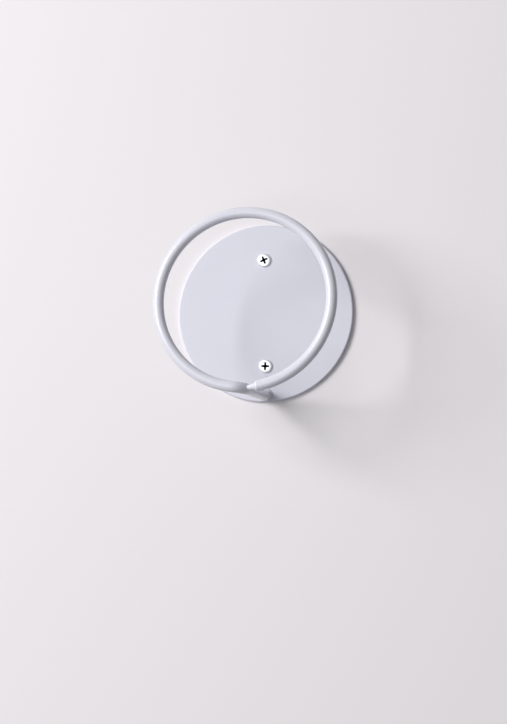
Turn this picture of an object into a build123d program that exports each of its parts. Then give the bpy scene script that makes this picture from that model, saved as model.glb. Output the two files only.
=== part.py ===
from build123d import *
import os
from math import atan2, cos, pi, radians, sin, sqrt, tan

# Wall coat hook: a round plate, one rod bent into a ring that stands in front of it, and two screws.
# Millimetres, +Z up. The wall is the plane y = 0 and the front faces -Y, with +X to the right.
# The origin is the centre of the plate's back face.

# Back plate, a flat disc
plate_d = 100.0
plate_t = 2.5
plate_front_round = 0.8
plate_back_break = 0.4

# Hook rod, one bar of round section
rod_d = 6.0
ring_overhang = 0.3
ring_reach = 56.0
ring_lean = 4.0
bend_r = 7.0
foot_margin = 0.4
closing_gap = 3.2
rod_end_round = 1.2

# Welds of the rod
foot_weld_width = 1.2
foot_weld_height = 1.5
foot_weld_bulge = 0.3
foot_weld_rim_gap = 0.3
closing_weld_end_d = 4.8
closing_weld_bend_d = 3.2
closing_weld_waist = 0.6
weld_bite = 0.4

# Mounting screws, raised countersunk with a cross recess
screw_spacing = 60.0
screw_length = 40.0
screw_thread_d = 4.0
screw_neck_d = 3.2
screw_neck_length = 0.6
screw_tip_length = 4.5
screw_head_d = 7.6
screw_head_rise = 0.9
screw_head_land = 0.25
screw_head_stand = 0.4
screw_cone_angle = 90.0
recess_span = 4.5
recess_slot = 1.15
recess_depth = 2.2
recess_taper = 9.0
upper_screw_turn = 22.0
lower_screw_turn = -4.0

# Clearances between the screws and the plate
thread_clearance = 0.25
head_clearance = 0.05

# Sizes that follow from the ones above
plate_r = plate_d / 2
rod_r = rod_d / 2
ring_outer_d = plate_d + 2 * ring_overhang
ring_r = (ring_outer_d - rod_d) / 2
front_y = -plate_t
shank_z = -(plate_r - foot_margin - rod_r)
lean = radians(ring_lean)
ring_up = Vector(0, sin(lean), cos(lean))
ring_right = Vector(1, 0, 0)
to_wall = Vector(0, 1, 0)


def bend_reach(angle):
    """Length from the ring's end of the bend to the corner that the bend rounds off."""
    turn = cos(angle) * sin(lean)
    return bend_r * sqrt((1 - turn) / (1 + turn))


# The rod leaves the ring at the angle that brings its shank onto the plate's vertical centre line.
leave_angle = pi + atan2(ring_r, bend_r)
angle_passes = 5
for _ in range(angle_passes):
    leave_angle = pi + atan2(ring_r, bend_reach(leave_angle))

leave_along = ring_right * -sin(leave_angle) + ring_up * cos(leave_angle)
leave_offset = ring_right * ring_r * cos(leave_angle) + ring_up * ring_r * sin(leave_angle)
bend_offset = leave_offset + (leave_along + to_wall) * bend_reach(leave_angle)
ring_centre = Vector(0, -ring_reach, shank_z - bend_offset.Z)

end_angle = leave_angle + (bend_r + rod_r + closing_gap) / ring_r
far_angle = (leave_angle + end_angle) / 2 + pi


def on_ring(angle):
    """Point of the ring's centre line, with the angle counted from the right towards the top."""
    return ring_centre + ring_right * ring_r * cos(angle) + ring_up * ring_r * sin(angle)


foot = Vector(0, front_y, shank_z)
ring_start = on_ring(leave_angle)
shank_end = ring_centre + bend_offset

# The closing weld runs from inside the rod's free end to the nearest point of the bend's centre line.
bend_out = (leave_along - to_wall * leave_along.dot(to_wall)).normalized()
bend_axis = leave_along.cross(to_wall).normalized()
bend_centre = shank_end - bend_out * bend_r
to_free_end = on_ring(end_angle) - bend_centre
to_bend = to_free_end - bend_axis * to_free_end.dot(bend_axis)
weld_start = on_ring(end_angle + (rod_end_round + weld_bite) / ring_r)
weld_end = bend_centre + to_bend.normalized() * bend_r
weld_along = (weld_end - weld_start).normalized()
weld_length = (weld_end - weld_start).length


# Back plate: disc with a rounded front edge and two countersunk holes
half_cone = radians(screw_cone_angle / 2)
cone_depth = screw_head_land - screw_head_stand
countersink_r = screw_head_d / 2 + cone_depth * tan(half_cone) + head_clearance / cos(half_cone)
hole_r = screw_thread_d / 2 + thread_clearance

with BuildPart() as back_plate:
    with BuildSketch(Plane.XZ):
        Circle(plate_r)
    extrude(amount=plate_t)
    fillet(back_plate.faces().sort_by(Axis.Y)[0].edges(), radius=plate_front_round)
    chamfer(back_plate.faces().sort_by(Axis.Y)[-1].edges(), length=plate_back_break)
    with Locations(Plane.XZ.offset(plate_t)):
        with Locations((0, screw_spacing / 2), (0, -screw_spacing / 2)):
            CounterSinkHole(hole_r, countersink_r, counter_sink_angle=screw_cone_angle)

back_plate.part.label = "back_plate"


# Foot weld: a rounded bead round the rod's foot, kept inside the plate's rim and laid on its edge
weld_toe = (rod_r + foot_weld_width, front_y)
weld_top = (rod_r - weld_bite, front_y - foot_weld_height)
weld_base_y = front_y + plate_front_round

with BuildPart() as foot_weld:
    with BuildSketch(Plane.XY.offset(shank_z)):
        with BuildLine():
            SagittaArc(weld_toe, weld_top, foot_weld_bulge)
            Polyline(weld_top, (0, weld_top[1]), (0, weld_base_y), (weld_toe[0], weld_base_y), weld_toe)
        make_face()
    revolve(axis=Axis((0, 0, shank_z), (0, 1, 0)))
    with BuildSketch(Plane.XZ):
        Circle(plate_r - foot_weld_rim_gap)
    extrude(amount=ring_reach, mode=Mode.INTERSECT)
    add(back_plate.part, mode=Mode.SUBTRACT)


# Closing weld: a neck of weld metal between the rod's free end and the bend
weld_end_edge = (0, closing_weld_end_d / 2)
weld_bend_edge = (weld_length, closing_weld_bend_d / 2)

with BuildPart() as closing_weld:
    with BuildSketch(Plane(origin=weld_start, x_dir=weld_along, z_dir=weld_along.cross(ring_up))):
        with BuildLine():
            SagittaArc(weld_end_edge, weld_bend_edge, -closing_weld_waist)
            Polyline(weld_bend_edge, (weld_length, 0), (0, 0), weld_end_edge)
        make_face()
    revolve(axis=Axis(weld_start, weld_along))


# Hook rod: shank, bend and ring swept in one run, with its end rounded and the two welds added
with BuildPart() as hook_rod:
    with BuildLine() as rod_path:
        Line(foot, shank_end)
        TangentArc(shank_end, ring_start, tangent=-to_wall)
        ThreePointArc(ring_start, on_ring(far_angle), on_ring(end_angle))
    with BuildSketch(Plane(origin=foot, z_dir=-to_wall)):
        Circle(rod_r)
    sweep(path=rod_path.wires()[0])
    free_end = hook_rod.faces().filter_by(GeomType.PLANE).sort_by(Axis.Y)[0]
    fillet(free_end.edges(), radius=rod_end_round)
    add(foot_weld.part)
    add(closing_weld.part)

hook_rod.part.label = "hook_rod"


# Mounting screws: head, neck, thread at its outer size and point turned in one, then the cross recess
head_r = screw_head_d / 2
neck_r = screw_neck_d / 2
thread_r = screw_thread_d / 2
rim_y = front_y - screw_head_stand
cone_y = rim_y + screw_head_land
neck_y = cone_y + (head_r - neck_r) / tan(half_cone)
thread_y = neck_y + screw_neck_length
point_y = front_y + screw_length
dome_y = rim_y - screw_head_rise
dome_r = (head_r**2 + screw_head_rise**2) / (2 * screw_head_rise)
dome_mid_y = dome_y + dome_r - sqrt(dome_r**2 - head_r**2 / 4)

with BuildPart() as mounting_screws:
    for screw_z, turn in ((screw_spacing / 2, upper_screw_turn), (-screw_spacing / 2, lower_screw_turn)):
        with BuildSketch(Plane(origin=(0, 0, screw_z), x_dir=(0, 1, 0), z_dir=(1, 0, 0))):
            with BuildLine():
                ThreePointArc((dome_y, 0), (dome_mid_y, head_r / 2), (rim_y, head_r))
                Polyline(
                    (rim_y, head_r),
                    (cone_y, head_r),
                    (neck_y, neck_r),
                    (thread_y, neck_r),
                    (thread_y, thread_r),
                    (point_y - screw_tip_length, thread_r),
                    (point_y, 0),
                    (dome_y, 0),
                )
            make_face()
        revolve(axis=Axis((0, 0, screw_z), (0, 1, 0)))
        across = Vector(cos(radians(turn)), 0, sin(radians(turn)))
        with BuildSketch(Plane(origin=(0, dome_y, screw_z), x_dir=across, z_dir=(0, 1, 0))):
            Rectangle(recess_span, recess_slot)
            Rectangle(recess_slot, recess_span)
        extrude(amount=recess_depth, taper=recess_taper, mode=Mode.SUBTRACT)

mounting_screws.part.label = "mounting_screws"


# One file for each piece
os.makedirs("parts", exist_ok=True)
export_step(back_plate.part, "parts/back_plate.step")
export_step(hook_rod.part, "parts/hook_rod.step")
export_step(mounting_screws.part, "parts/mounting_screws.step")
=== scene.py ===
from math import pi, radians, tan

import bpy
import numpy as np
from mathutils import Matrix, Vector


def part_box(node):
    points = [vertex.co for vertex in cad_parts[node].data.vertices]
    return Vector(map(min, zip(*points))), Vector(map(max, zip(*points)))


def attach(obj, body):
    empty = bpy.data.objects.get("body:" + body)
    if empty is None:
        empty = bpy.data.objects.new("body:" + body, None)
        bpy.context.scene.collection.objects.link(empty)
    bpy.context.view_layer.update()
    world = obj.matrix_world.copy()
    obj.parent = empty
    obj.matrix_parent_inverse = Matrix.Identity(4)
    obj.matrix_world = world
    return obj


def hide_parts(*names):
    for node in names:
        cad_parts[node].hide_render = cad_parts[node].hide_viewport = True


# Wall coat hook: a powder-coated plate and ring of rod, with two plated screws.
# Metres, in the frame of the solids: +Z up, the wall is the plane y = 0 and the front faces -Y.
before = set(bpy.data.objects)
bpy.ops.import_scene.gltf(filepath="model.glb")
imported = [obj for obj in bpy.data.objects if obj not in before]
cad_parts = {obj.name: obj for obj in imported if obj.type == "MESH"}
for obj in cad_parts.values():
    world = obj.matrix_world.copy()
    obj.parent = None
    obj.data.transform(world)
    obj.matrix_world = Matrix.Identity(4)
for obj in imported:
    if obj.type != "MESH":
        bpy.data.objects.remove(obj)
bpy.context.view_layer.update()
MM = 0.001

# Mounting screws, in millimetres; their place, length and head size come from the frame
HEAD_RISE = 0.9
HEAD_LAND = 0.25
HEAD_EDGE = 0.06
HEAD_CONE_DEG = 90.0
CROWN_POWER = 3.5
NECK_R = 1.6
NECK_LENGTH = 0.6
THREAD_R = 2.0
THREAD_ROOT_SHARE = 0.66
THREAD_PITCH = 1.8
THREAD_BASE = 0.95
THREAD_CREST = 0.16
THREAD_RUN_IN = 1.6
TIP_LENGTH = 4.5
RECESS_SPAN = 4.5
RECESS_SLOT = 1.15
RECESS_DEPTH = 2.2
RECESS_TAPER_DEG = 9.0
RECESS_DIP = 0.3
# Share of painted shade and dirt at the mouth of the recess, on the top ring of its walls
RECESS_MOUTH_SHADE_AND_DIRT = 0.7
CROSS_POWER = 9.0
UPPER_TURN_DEG = 22.0
LOWER_TURN_DEG = -4.0

# Grid of a screw: points round each ring, rings on each part, and where the first ring of a part lies
SCREW_SIDES = 64
RECESS_FLOOR_ROWS = 4
RECESS_FLOOR_START = 0.3
RECESS_WALL_ROWS = 4
CROWN_ROWS = 18
CROWN_START = 0.96
THREAD_ROW = 0.08
MOUTH_PASSES = 4
SHARP_EDGE_DEG = 38

# Stage, in millimetres
WALL_HALF_WIDTH = 280.0
WALL_HALF_HEIGHT = 450.0
WALL_OPENING_INSET = 0.3
FLOOR_R = 600.0
STAGE_SIDES = 128

# White softboxes, all aimed at the hook: place, width and height in metres, and brightness of the face
SOFTBOXES = {
    "left_window": ((-1.64, -1.68, 0.77), 1.2, 1.2, 12.2),
    "front_panel": ((-0.5, -1.9, -0.05), 1.6, 1.3, 1.7),
    "back_fill": ((0.9, 1.2, 0.7), 1.2, 1.2, 6.5),
}

# Surround: its strength as light on the hook, and as the camera and reflections see it
SURROUND_FILL = 0.1
SURROUND_PALE = 0.7

# Camera: place and aim in millimetres, lens and sensor, worked out from the photograph's perspective
CAMERA_PLACE = (197.5, -944.2, -120.5)
CAMERA_AIM = (-7.44, 0.0, -27.11)
CAMERA_ROLL_DEG = -0.69
CAMERA_LENS = 85.73
CAMERA_SENSOR = 36.0


def linear(hex_colour):
    """Linear RGBA of an sRGB hex colour, by the two branches of the sRGB curve."""
    s = np.array([int(hex_colour[i:i + 2], 16) for i in (1, 3, 5)]) / 255
    low, high = s / 12.92, ((s + 0.055) / 1.055) ** 2.4
    return (*np.where(s <= 0.04045, low, high).tolist(), 1.0)


def put(tree, kind, inputs=None, **settings):
    """Adds a node with its settings, and with each input linked to a socket or set to a value."""
    made = tree.nodes.new(kind)
    for name, value in settings.items():
        setattr(made, name, value)
    for name, value in (inputs or {}).items():
        if isinstance(value, bpy.types.NodeSocket):
            tree.links.new(value, made.inputs[name])
        else:
            made.inputs[name].default_value = value
    return made


def new_material(name):
    """An empty node material and its tree."""
    material = bpy.data.materials.new(name)
    material.use_nodes = True
    material.node_tree.nodes.clear()
    return material, material.node_tree


def powder_coat(name, pale, deep, smooth, rough, peel_mm, peel_depth_mm):
    """White polyester powder coat, baked on steel.

    The coat flows out smooth but keeps a slight orange peel, which makes reflections waver, and its
    colour and gloss drift a little over the surface.
    """
    material, tree = new_material(name)
    place = put(tree, "ShaderNodeTexCoord").outputs["Object"]
    drift_size = 38 * MM
    drift = put(tree, "ShaderNodeTexNoise", {"Vector": place, "Scale": 1 / drift_size, "Detail": 2.0})
    tones = {"Factor": drift.outputs["Fac"], "A": linear(deep), "B": linear(pale)}
    colour = put(tree, "ShaderNodeMix", tones, data_type="RGBA")
    grain_size = 5 * MM
    grain = put(tree, "ShaderNodeTexNoise", {"Vector": place, "Scale": 1 / grain_size, "Detail": 4.0})
    gloss = put(tree, "ShaderNodeMapRange", {
        "Value": grain.outputs["Fac"],
        "From Min": 0.3,
        "From Max": 0.7,
        "To Min": smooth,
        "To Max": rough,
    })
    peel_size, peel_depth = peel_mm * MM, peel_depth_mm * MM
    peel = put(tree, "ShaderNodeTexNoise", {"Vector": place, "Scale": 1 / peel_size, "Detail": 1.0})
    relief = {"Height": peel.outputs["Fac"], "Strength": 1.0, "Distance": peel_depth}
    bump = put(tree, "ShaderNodeBump", relief)
    shader = put(tree, "ShaderNodeBsdfPrincipled", {
        "Base Color": colour.outputs["Result"],
        "Roughness": gloss.outputs["Result"],
        "IOR": 1.5,
        "Normal": bump.outputs["Normal"],
    })
    put(tree, "ShaderNodeOutputMaterial", {"Surface": shader.outputs["BSDF"]})
    return material


def zinc_plated_steel():
    """Bright zinc plate on pressed and rolled steel.

    A silvery mirror, softened by fine tumbling marks. Down in the recess its colour is painted near-black, as
    painted shade with some dirt, and it is rougher there.
    """
    material, tree = new_material("zinc_plated_steel")
    place = put(tree, "ShaderNodeTexCoord").outputs["Object"]
    # The recess share is painted shade with some dirt: it turns the plating near-black and rougher
    shade_and_dirt = put(tree, "ShaderNodeAttribute", attribute_name="recess").outputs["Fac"]
    mottle_size = 1.4 * MM
    mottle = put(tree, "ShaderNodeTexNoise", {"Vector": place, "Scale": 1 / mottle_size, "Detail": 3.0})
    tones = {"Factor": mottle.outputs["Fac"], "A": linear("#CDD0D3"), "B": linear("#E4E6E7")}
    plate = put(tree, "ShaderNodeMix", tones, data_type="RGBA")
    # Painted shade and dirt in the recess: near-black mixed in by the recess share
    shade_and_dirt_mix = {"Factor": shade_and_dirt, "A": plate.outputs["Result"], "B": linear("#14130F")}
    colour = put(tree, "ShaderNodeMix", shade_and_dirt_mix, data_type="RGBA")
    gloss = put(tree, "ShaderNodeMapRange", {"Value": mottle.outputs["Fac"], "To Min": 0.32, "To Max": 0.42})
    dirt_roughness = 0.75
    dulled = put(tree, "ShaderNodeMix", {"Factor": shade_and_dirt, "A": gloss.outputs["Result"], "B": dirt_roughness})
    # Real tumbling marks are too fine to show, so they are drawn a few times coarser
    scuff_size, scuff_depth = 0.35 * MM, 0.004 * MM
    scuff = put(tree, "ShaderNodeTexNoise", {"Vector": place, "Scale": 1 / scuff_size, "Detail": 2.0})
    relief = {"Height": scuff.outputs["Fac"], "Strength": 1.0, "Distance": scuff_depth}
    bump = put(tree, "ShaderNodeBump", relief)
    shader = put(tree, "ShaderNodeBsdfPrincipled", {
        "Base Color": colour.outputs["Result"],
        "Metallic": 1.0,
        "Roughness": dulled.outputs["Result"],
        "Normal": bump.outputs["Normal"],
    })
    put(tree, "ShaderNodeOutputMaterial", {"Surface": shader.outputs["BSDF"]})
    return material


def seen_directly(tree):
    """1 for what the camera, a reflection or a clear piece sees, and 0 for bounced light."""
    path = put(tree, "ShaderNodeLightPath").outputs
    seen = put(tree, "ShaderNodeMath", {0: path["Is Camera Ray"], 1: path["Is Glossy Ray"]})
    both = {0: seen.outputs["Value"], 1: path["Is Transmission Ray"]}
    return put(tree, "ShaderNodeMath", both, use_clamp=True).outputs["Value"]


def matt_board_paint(name, colour, bounces):
    """Matt wall paint on a stage board: even and without a shine.

    The board is clear from behind, so it never hides the hook. One that doesn't bounce light is clear to
    bounced light too, so it doesn't brighten the hook from below.
    """
    material, tree = new_material(name)
    paint = put(tree, "ShaderNodeBsdfPrincipled", {"Base Color": linear(colour), "Roughness": 0.85})
    clear = put(tree, "ShaderNodeBsdfTransparent")
    away = put(tree, "ShaderNodeNewGeometry").outputs["Backfacing"]
    if not bounces:
        hidden = put(tree, "ShaderNodeMath", {0: 1.0, 1: seen_directly(tree)}, operation="SUBTRACT")
        either = put(tree, "ShaderNodeMath", {0: away, 1: hidden.outputs["Value"]}, operation="MAXIMUM")
        away = either.outputs["Value"]
    faces = {"Fac": away, 1: paint.outputs["BSDF"], 2: clear.outputs["BSDF"]}
    one_sided = put(tree, "ShaderNodeMixShader", faces)
    put(tree, "ShaderNodeOutputMaterial", {"Surface": one_sided.outputs["Shader"]})
    return material


def closed_grid(shape):
    """Faces of a stack of rings whose first and last rings each close on a pole.

    Rings are numbered row by row, and the two poles come after them. A quad joins each pair of
    neighbours on two rings, and a triangle joins each pair on an end ring to its pole.
    """
    count, sides = shape
    ring = np.arange(count * sides).reshape(count, sides)
    step = np.roll(ring, -1, axis=1)
    quads = np.stack([ring[:-1], ring[1:], step[1:], step[:-1]], axis=-1).reshape(-1, 4)
    first_pole, last_pole = count * sides, count * sides + 1
    start = np.stack([np.full(sides, first_pole), ring[0], step[0]], axis=-1)
    end = np.stack([np.full(sides, last_pole), step[-1], ring[-1]], axis=-1)
    return quads, np.vstack([start, end])


def cross_outline(angle, inset):
    """Distance from the centre to the edge of a cross with rounded corners, in millimetres.

    Each bar is a rounded box, 1 / (|cos / half length|^n + |sin / half width|^n)^(1/n), and the cross is
    the n-th root of the sum of both bars' n-th powers, which rounds the inner corners too.
    """
    long, short = RECESS_SPAN / 2 - inset, RECESS_SLOT / 2 - inset
    n = CROSS_POWER
    c, s = np.abs(np.cos(angle)), np.abs(np.sin(angle))
    across = ((c / long) ** n + (s / short) ** n) ** (-1 / n)
    upright = ((c / short) ** n + (s / long) ** n) ** (-1 / n)
    return (across ** n + upright ** n) ** (1 / n)


def screw_surface(head_r, dome_y, point_y, turn):
    """Rings of one screw about the axis x = z = 0, as radius, place along the axis and share of painted shade
    and dirt.

    The rings run from the middle of the recess floor out over its walls, the crown, the land and the
    cone, and along the thread to the point. The crown's height is the rise times (1 - (r / R)^n)^(1/n),
    which is flat in the middle and round at the shoulder. The thread's radius is the root plus a tooth,
    a trapezium across each pitch that winds once round the axis in the length of one pitch.
    """
    angle = np.linspace(0, 2 * pi, SCREW_SIDES, endpoint=False)
    rim_y = dome_y + HEAD_RISE

    def crown(r):
        return rim_y - HEAD_RISE * (1 - np.minimum(r / head_r, 1) ** CROWN_POWER) ** (1 / CROWN_POWER)

    # The mouth is the outline where the tapered wall meets the crown, found by a few passes
    slope = tan(radians(RECESS_TAPER_DEG))
    floor_y = dome_y + RECESS_DEPTH
    floor_edge = cross_outline(angle - turn, RECESS_DEPTH * slope)
    mouth = cross_outline(angle - turn, 0.0)
    for _ in range(MOUTH_PASSES):
        mouth = cross_outline(angle - turn, (crown(mouth) - dome_y) * slope)

    # The recess floor and walls get a full share of painted shade and dirt, the mouth a little less
    share = np.linspace(RECESS_FLOOR_START, 1.0, RECESS_FLOOR_ROWS)[:, None]
    floor = share * floor_edge, floor_y + RECESS_DIP * (1 - share) + 0 * angle, 1 + 0 * share * angle
    share = np.linspace(1 / RECESS_WALL_ROWS, 1.0, RECESS_WALL_ROWS)[:, None]
    wall_shade_and_dirt = np.where(share < 1, 1.0, RECESS_MOUTH_SHADE_AND_DIRT) + 0 * angle
    wall = floor_edge + share * (mouth - floor_edge), floor_y + share * (crown(mouth) - floor_y), wall_shade_and_dirt
    share = 1 - np.linspace(CROWN_START, 0.0, CROWN_ROWS)[:, None] ** 2
    reach = mouth + share * (head_r - mouth)
    head = reach, crown(reach), 0 * reach

    half_cone = tan(radians(HEAD_CONE_DEG / 2))
    cone_y = rim_y + HEAD_LAND
    neck_y = cone_y + (head_r - NECK_R) / half_cone
    thread_y = neck_y + NECK_LENGTH
    side = np.array([
        (head_r, cone_y - HEAD_EDGE),
        (head_r - HEAD_EDGE, cone_y + HEAD_EDGE / 2),
        ((head_r + NECK_R) / 2, (cone_y + neck_y) / 2),
        (NECK_R, neck_y),
    ])[:, :, None] + 0 * angle
    under = side[:, 0], side[:, 1], 0 * side[:, 0]

    along = np.arange(thread_y, point_y - THREAD_ROW / 2, THREAD_ROW)[:, None]
    outer = np.interp(along, [point_y - TIP_LENGTH, point_y], [THREAD_R, 0.0])
    start = np.clip((along - thread_y) / THREAD_RUN_IN, 0, 1)
    root = np.minimum(outer * THREAD_ROOT_SHARE, NECK_R)
    winding = (along - thread_y) / THREAD_PITCH + angle / (2 * pi)
    from_crest = np.abs(winding - np.round(winding)) * THREAD_PITCH
    tooth = np.clip((THREAD_BASE / 2 - from_crest) / (THREAD_BASE / 2 - THREAD_CREST / 2), 0, 1)
    shank = NECK_R + start * (root - NECK_R)
    threaded = np.where(outer < THREAD_R, root, shank) + (outer - root) * start * tooth
    thread = np.minimum(threaded, outer), along + 0 * angle, 0 * threaded

    radius, axial, shade_and_dirt = (np.vstack(parts) for parts in zip(floor, wall, head, under, thread))
    return angle, radius, axial, shade_and_dirt, (floor_y + RECESS_DIP, point_y)


def mounting_screws(material):
    """Both screws as one mesh: each has its rings round its own axis, and its recess turned its own way."""
    low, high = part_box("mounting_screws")
    head_r = high.x / MM
    height = high.z / MM - head_r
    points, quads, fans, shade_and_dirt_shares = [], [], [], []
    for z, turn in ((height, UPPER_TURN_DEG), (-height, LOWER_TURN_DEG)):
        angle, radius, axial, shade_and_dirt, poles = screw_surface(head_r, low.y / MM, high.y / MM, radians(turn))
        rings = np.stack([radius * np.cos(angle), axial, z + radius * np.sin(angle)], axis=-1).reshape(-1, 3)
        ends = np.array([(0, poles[0], z), (0, poles[1], z)])
        faces, caps = closed_grid(radius.shape)
        first = sum(len(p) for p in points)
        points.append(np.vstack([rings, ends]))
        quads.append(faces + first)
        fans.append(caps + first)
        shade_and_dirt_shares.append(np.concatenate([shade_and_dirt.ravel(), [1.0, 0.0]]))
    mesh = bpy.data.meshes.new("mounting_screws_threaded")
    faces = np.vstack(quads).tolist() + np.vstack(fans).tolist()
    mesh.from_pydata((np.vstack(points) * MM).tolist(), [], faces)
    # The recess share on the points: painted shade with some dirt down in each recess
    recess = mesh.attributes.new("recess", "FLOAT", "POINT")
    recess.data.foreach_set("value", np.concatenate(shade_and_dirt_shares).astype(np.float32))
    mesh.shade_smooth()
    mesh.set_sharp_from_angle(angle=radians(SHARP_EDGE_DEG))
    mesh.materials.append(material)
    screws = bpy.data.objects.new("mounting_screws_threaded", mesh)
    bpy.context.scene.collection.objects.link(screws)
    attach(screws, "root")
    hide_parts("mounting_screws")


def board(name, points, faces, material):
    """A flat stage board of these faces, with its points in millimetres."""
    mesh = bpy.data.meshes.new(name)
    mesh.from_pydata((points * MM).tolist(), [], faces.tolist())
    mesh.materials.append(material)
    made = bpy.data.objects.new(name, mesh)
    bpy.context.scene.collection.objects.link(made)


def stage():
    """A pale wall behind the plate and a pale round floor below.

    The wall is a ring of quads from a circle, left open under the plate so that light reaches its back,
    out to a rectangle: a direction (cos, sin) divided by the larger of its two parts lies on a square,
    which is then stretched. The floor is one circle at the height of the wall's lower edge.
    """
    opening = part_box("back_plate")[1].x / MM - WALL_OPENING_INSET
    angle = np.linspace(0, 2 * pi, STAGE_SIDES, endpoint=False)
    around = np.stack([np.cos(angle), 0 * angle, np.sin(angle)], axis=-1)
    square = around / np.abs(around).max(axis=1, keepdims=True)
    wall = np.vstack([around * opening, square * (WALL_HALF_WIDTH, 0, WALL_HALF_HEIGHT)])
    inner = np.arange(STAGE_SIDES)
    step = np.roll(inner, -1)
    quads = np.stack([inner, inner + STAGE_SIDES, step + STAGE_SIDES, step], axis=-1)
    board("wall_board", wall, quads, matt_board_paint("pale_wall_paint", "#F0ECEF", bounces=True))
    floor = np.stack([np.cos(angle), np.sin(angle), 0 * angle], axis=-1) * FLOOR_R
    floor -= (0, 0, WALL_HALF_HEIGHT)
    board("floor_board", floor, inner[None], matt_board_paint("pale_floor_paint", "#ECEBED", bounces=False))


def softbox(name, place, width, height, glow):
    """A rectangular softbox. Its power is set from the brightness of its face, so its size can change."""
    lamp = bpy.data.lights.new(name, "AREA")
    lamp.shape = "RECTANGLE"
    lamp.size, lamp.size_y = width, height
    lamp.energy = glow * pi * width * height
    made = bpy.data.objects.new(name, lamp)
    made.location = place
    made.rotation_mode = "QUATERNION"
    made.rotation_quaternion = (-Vector(place)).to_track_quat("-Z", "Y")
    bpy.context.scene.collection.objects.link(made)


def studio_light():
    """A key from the left, a wide front panel, a fill from behind, and a surround.

    The surround looks pale to the camera and in reflections, but lights the hook only dimly.
    """
    for name, (place, width, height, glow) in SOFTBOXES.items():
        softbox(name, place, width, height, glow)
    world = bpy.data.worlds.new("surround")
    world.use_nodes = True
    tree = world.node_tree
    tree.nodes.clear()
    strengths = {"Factor": seen_directly(tree), "A": SURROUND_FILL, "B": SURROUND_PALE}
    strength = put(tree, "ShaderNodeMix", strengths).outputs["Result"]
    pale = put(tree, "ShaderNodeBackground", {"Color": linear("#F0F1F4"), "Strength": strength})
    put(tree, "ShaderNodeOutputWorld", {"Surface": pale.outputs["Background"]})
    bpy.context.scene.world = world


def photo_camera():
    """The photograph's camera: from the right, a little below the hook."""
    lens = bpy.data.cameras.new("photo_camera")
    lens.lens = CAMERA_LENS
    lens.sensor_width = CAMERA_SENSOR
    camera = bpy.data.objects.new("photo_camera", lens)
    place, aim = Vector(CAMERA_PLACE) * MM, Vector(CAMERA_AIM) * MM
    look = (aim - place).to_track_quat("-Z", "Y").to_matrix().to_4x4()
    roll = Matrix.Rotation(radians(CAMERA_ROLL_DEG), 4, "Z")
    camera.matrix_world = Matrix.Translation(place) @ look @ roll
    bpy.context.scene.collection.objects.link(camera)
    bpy.context.scene.camera = camera


def dress(node, material):
    """Gives a solid of the frame its finish."""
    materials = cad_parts[node].data.materials
    materials.clear()
    materials.append(material)


satin_coat = powder_coat(
    "satin_white_powder_coat", "#DFDFEA", "#DADAE6", smooth=0.42, rough=0.5, peel_mm=1.8, peel_depth_mm=0.006
)
gloss_coat = powder_coat(
    "gloss_white_powder_coat", "#E2E2EC", "#DDDDE8", smooth=0.16, rough=0.22, peel_mm=1.5, peel_depth_mm=0.004
)
dress("back_plate", satin_coat)
dress("hook_rod", gloss_coat)
mounting_screws(zinc_plated_steel())
stage()
studio_light()
photo_camera()
bpy.context.scene.view_settings.view_transform = "Standard"
